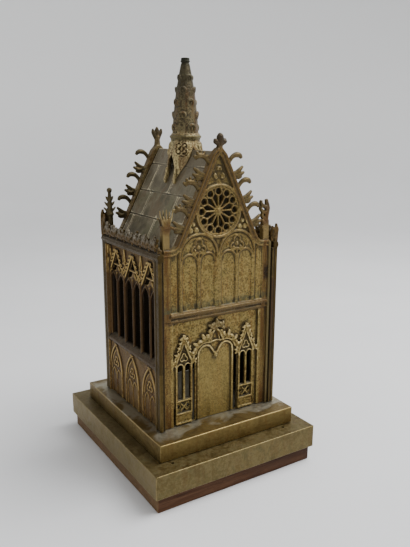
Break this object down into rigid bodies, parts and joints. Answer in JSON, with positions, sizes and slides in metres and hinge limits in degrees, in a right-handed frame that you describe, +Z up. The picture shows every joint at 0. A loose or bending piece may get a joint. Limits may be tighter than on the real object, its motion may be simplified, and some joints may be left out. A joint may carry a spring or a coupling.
{
  "type": "chapel reliquary",
  "caption": "Hollow neo-Gothic chapel in cast brass on a stepped plinth and wooden board, with pierced windows, gabled facade, folded roof and crocketed spire that lacks its finial.",
  "frame": {"origin": "centre of the wooden board's underside, on the surface that it stands on", "axes": "+Z up along the spire, facade with the door faces -Y, +X to the right seen from the facade"},
  "size_m": [0.1372, 0.1546, 0.3],
  "materials": {
    "board_wood": "red-brown stained, dull varnish",
    "plinth_brass": "aged satin, dull patina",
    "facade_brass": "grained casting, gilt wear, dark recesses",
    "side_brass": "brown patinated casting",
    "roof_brass": "grey-olive patina, matt"
  },
  "bodies": {
    "root": {"base_board": "board_wood", "lower_plinth": "plinth_brass", "upper_plinth": "plinth_brass", "front_wall": "facade_brass", "rear_wall": "facade_brass", "left_wall": "side_brass", "right_wall": "side_brass", "roof": "roof_brass", "spire": "facade_brass"}
  },
  "joints": []
}
